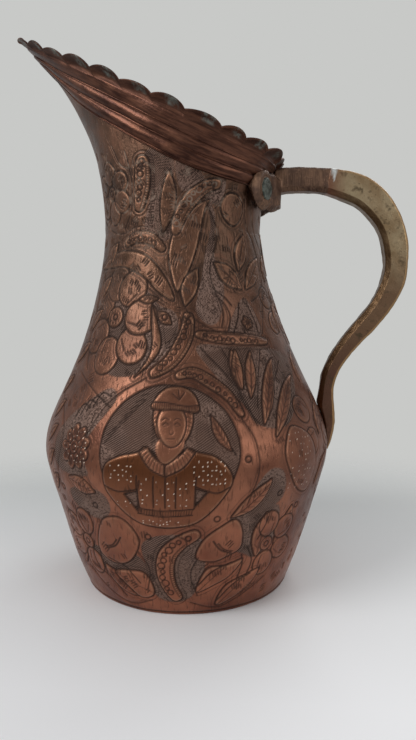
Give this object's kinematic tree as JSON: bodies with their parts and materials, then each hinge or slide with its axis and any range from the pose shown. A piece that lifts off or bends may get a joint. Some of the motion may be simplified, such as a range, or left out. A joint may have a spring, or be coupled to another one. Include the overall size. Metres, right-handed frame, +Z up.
{
  "type": "ewer",
  "caption": "Pear-shaped chased copper ewer with a slanted beak mouth, reeded band, scalloped rim and a riveted brass S-shaped handle.",
  "frame": {"origin": "centre of the flat underside of the base", "axes": "+Z up, +X from the axis to the handle, -X to the spout, +Y to the left of the handle seen from outside"},
  "size_m": [0.2122, 0.1572, 0.2959],
  "materials": {
    "chased_copper": "raised copper sheet, chased and punched, brown patina in the ground; tinned inside",
    "plain_copper": "hammered copper sheet, worn and darkened",
    "smooth_copper": "smooth reeded copper with brown patina and grey-green traces of tin on the lip",
    "forged_copper": "forged and filed copper, brown",
    "cast_brass": "cast and filed brass with grey-brown patina",
    "iron_rivet": "hammered rivet head, grey-green patina",
    "rivet_copper": "hammered copper",
    "burr_copper": "sheared copper sheet"
  },
  "bodies": {
    "root": {"body_shell": "chased_copper", "base_disc": "plain_copper", "mouth_collar": "smooth_copper", "handle_saddle": "forged_copper", "handle_bar": "cast_brass", "saddle_rivets": "iron_rivet", "saddle_burrs": "burr_copper", "foot_rivets": "rivet_copper", "foot_burrs": "burr_copper"}
  },
  "joints": []
}
